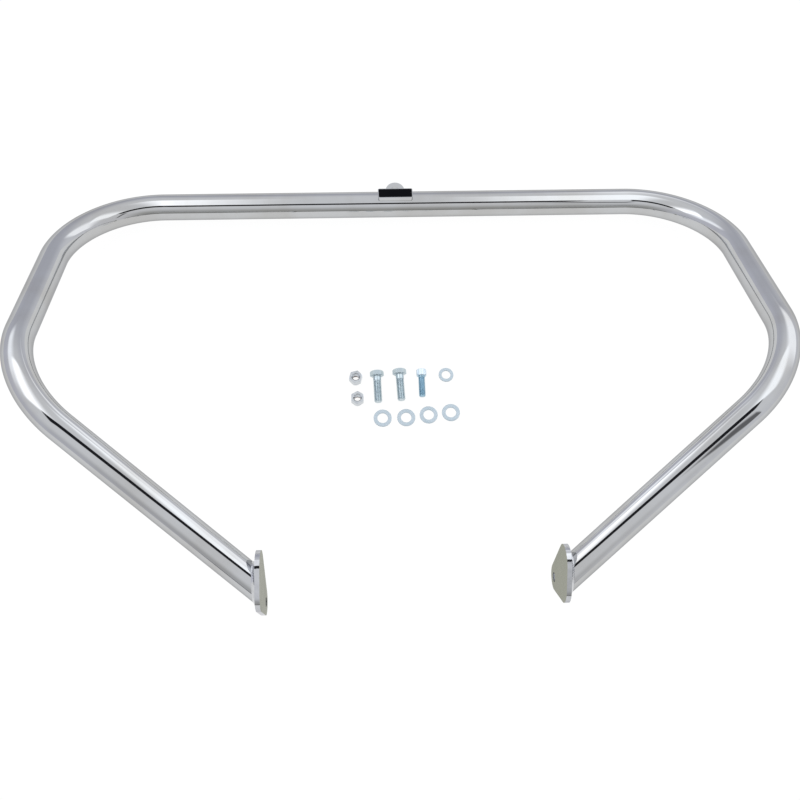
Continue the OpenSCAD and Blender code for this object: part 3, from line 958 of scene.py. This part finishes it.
# Studio
#
# A wide white floor under a pale tent. Glowing panels with soft edges hang over the part and
# further back, and their bright bands run along the polished tube. A dark card by the camera, a
# slanted rail at the right and a low rail in front give the tube its black line and its grey ones.
floor_mesh = bpy.data.meshes.new("floor")
floor_half = 8.0
glow_share = 0.93
floor_mesh.from_pydata([(-floor_half, -floor_half, 0), (floor_half, -floor_half, 0),
                        (floor_half, floor_half, 0), (-floor_half, floor_half, 0)],
                       [], [(0, 1, 2, 3)])
floor = bpy.data.objects.new("floor", floor_mesh)
bpy.context.scene.collection.objects.link(floor)
paper = bpy.data.materials.new("white_paper")
paper.use_nodes = True
tree = paper.node_tree
tree.nodes.remove(tree.nodes["Principled BSDF"])
matt = tree.nodes.new("ShaderNodeBsdfDiffuse")
matt.inputs["Color"].default_value = (0.90, 0.90, 0.90, 1.0)
glow = tree.nodes.new("ShaderNodeEmission")
glow.inputs["Color"].default_value = (1.0, 1.0, 1.0, 1.0)
glow.inputs["Strength"].default_value = 1.03
path = tree.nodes.new("ShaderNodeLightPath")
mirrored = sums(tree, "MAXIMUM", path.outputs["Is Glossy Ray"],
                path.outputs["Is Transmission Ray"])
seen = sums(tree, "MAXIMUM", path.outputs["Is Camera Ray"], mirrored)
share = sums(tree, "MULTIPLY", seen, glow_share)
paper_mix = tree.nodes.new("ShaderNodeMixShader")
tree.links.new(share, paper_mix.inputs["Fac"])
tree.links.new(matt.outputs["BSDF"], paper_mix.inputs[1])
tree.links.new(glow.outputs["Emission"], paper_mix.inputs[2])
tree.links.new(paper_mix.outputs["Shader"], tree.nodes["Material Output"].inputs["Surface"])
floor_mesh.materials.append(paper)


def card(name, centre, size, colour, level, soft, lights=False, tilt=0.0, turn=0.0):
    """A flat card whose edges fade out over the given widths, hung out of the camera's sight."""
    half = (size[0] / 2, size[1] / 2)
    mesh = bpy.data.meshes.new(name)
    mesh.from_pydata([(-half[0], -half[1], 0), (half[0], -half[1], 0), (half[0], half[1], 0),
                      (-half[0], half[1], 0)], [], [(0, 1, 2, 3)])
    sheet = bpy.data.objects.new(name, mesh)
    sheet.location = centre
    sheet.rotation_euler = (math.radians(tilt), 0.0, math.radians(turn))
    bpy.context.scene.collection.objects.link(sheet)
    cloth = bpy.data.materials.new(name)
    cloth.use_nodes = True
    tree = cloth.node_tree
    tree.nodes.remove(tree.nodes["Principled BSDF"])
    where = tree.nodes.new("ShaderNodeTexCoord")
    axes = tree.nodes.new("ShaderNodeSeparateXYZ")
    tree.links.new(where.outputs["Object"], axes.inputs["Vector"])
    fades = []
    for axis, edge, fade in zip(("X", "Y"), half, soft):
        distance = sums(tree, "ABSOLUTE", axes.outputs[axis], 0.0)
        fades.append(ramped(tree, distance, edge - fade, edge, 1.0, 0.0))
    light = tree.nodes.new("ShaderNodeEmission")
    light.inputs["Color"].default_value = (*colour, 1.0)
    light.inputs["Strength"].default_value = level
    clear = tree.nodes.new("ShaderNodeBsdfTransparent")
    cloth_mix = tree.nodes.new("ShaderNodeMixShader")
    tree.links.new(sums(tree, "MULTIPLY", fades[0], fades[1]), cloth_mix.inputs["Fac"])
    tree.links.new(clear.outputs["BSDF"], cloth_mix.inputs[1])
    tree.links.new(light.outputs["Emission"], cloth_mix.inputs[2])
    tree.links.new(cloth_mix.outputs["Shader"], tree.nodes["Material Output"].inputs["Surface"])
    mesh.materials.append(cloth)
    sheet.visible_camera = False
    sheet.visible_diffuse = lights
    sheet.visible_shadow = False


card("left_panel", centre=(-0.72, 0.08, 1.05), size=(1.16, 1.10), colour=(0.96, 0.97, 1.0),
     level=2.2, soft=(0.46, 0.16), lights=True)
card("right_panel", centre=(0.58, 0.06, 1.05), size=(0.98, 1.04), colour=(0.95, 0.97, 1.0),
     level=1.8, soft=(0.36, 0.14), lights=True)
card("left_far_panel", centre=(-1.40, 1.00, 1.09), size=(1.70, 3.20), colour=(0.93, 0.95, 1.0),
     level=1.6, soft=(0.70, 1.10))
card("right_far_panel", centre=(2.20, 1.20, 1.09), size=(3.60, 3.20), colour=(0.96, 0.97, 1.0),
     level=1.6, soft=(0.60, 1.00))
card("dark_card", centre=(-0.02, -0.50, 1.02), size=(1.06, 0.29), colour=(0.02, 0.02, 0.025),
     level=1.0, soft=(0.06, 0.04))
card("dark_rail", centre=(1.05, -1.20, 1.01), size=(1.80, 0.20), colour=(0.20, 0.20, 0.21),
     level=1.0, soft=(0.30, 0.06), turn=-36.0)
card("low_rail", centre=(0.0, -3.6, 0.30), size=(5.0, 0.24), colour=(0.10, 0.10, 0.10),
     level=1.0, soft=(0.30, 0.06), tilt=90.0)

# The tent is dim and neutral low in front, a little blue behind, lighter at the sides and above.
world = bpy.data.worlds.new("tent")
bpy.context.scene.world = world
world.use_nodes = True
tree = world.node_tree
direction = tree.nodes.new("ShaderNodeTexCoord")
parts = tree.nodes.new("ShaderNodeSeparateXYZ")
tree.links.new(direction.outputs["Generated"], parts.inputs["Vector"])
tent = (0.50, 0.50, 0.49, 1.0)
for part, start, end, shade, most in (
    ("Y", -0.85, 0.30, (0.64, 0.65, 0.72, 1.0), 1.0),
    ("X", -0.20, -0.85, (0.84, 0.85, 0.95, 1.0), 0.7),
    ("X", 0.15, 0.75, (0.94, 0.95, 1.00, 1.0), 0.9),
    ("Z", 0.22, 0.78, (0.95, 0.96, 0.99, 1.0), 1.0),
):
    wall = tree.nodes.new("ShaderNodeMix")
    wall.data_type = "RGBA"
    tree.links.new(ramped(tree, parts.outputs[part], start, end, 0.0, most), wall.inputs["Factor"])
    if isinstance(tent, tuple):
        wall.inputs["A"].default_value = tent
    else:
        tree.links.new(tent, wall.inputs["A"])
    wall.inputs["B"].default_value = shade
    tent = wall.outputs["Result"]
tree.links.new(tent, tree.nodes["Background"].inputs["Color"])


# Camera
#
# It stands in front of the legs and looks down at 68 degrees, as the photograph does. The lens
# takes in 48 degrees.
lens = bpy.data.cameras.new("camera")
lens.sensor_width = 36.0
lens.lens = 40.5
lens.clip_start = 0.01
lens.clip_end = 50.0
camera = bpy.data.objects.new("camera", lens)
camera_at = Vector((-0.0484, -0.6805, 0.9833))
look_right = Vector((0.9989, -0.0362, 0.0309))
look = Vector((0.0421, 0.3687, -0.9286)).normalized()
look_right = (look_right - look * look_right.dot(look)).normalized()
look_up = look_right.cross(look)
camera.matrix_world = Matrix((
    (look_right.x, look_up.x, -look.x, camera_at.x),
    (look_right.y, look_up.y, -look.y, camera_at.y),
    (look_right.z, look_up.z, -look.z, camera_at.z),
    (0, 0, 0, 1),
))
bpy.context.scene.collection.objects.link(camera)
bpy.context.scene.camera = camera
bpy.context.scene.view_settings.view_transform = "Standard"
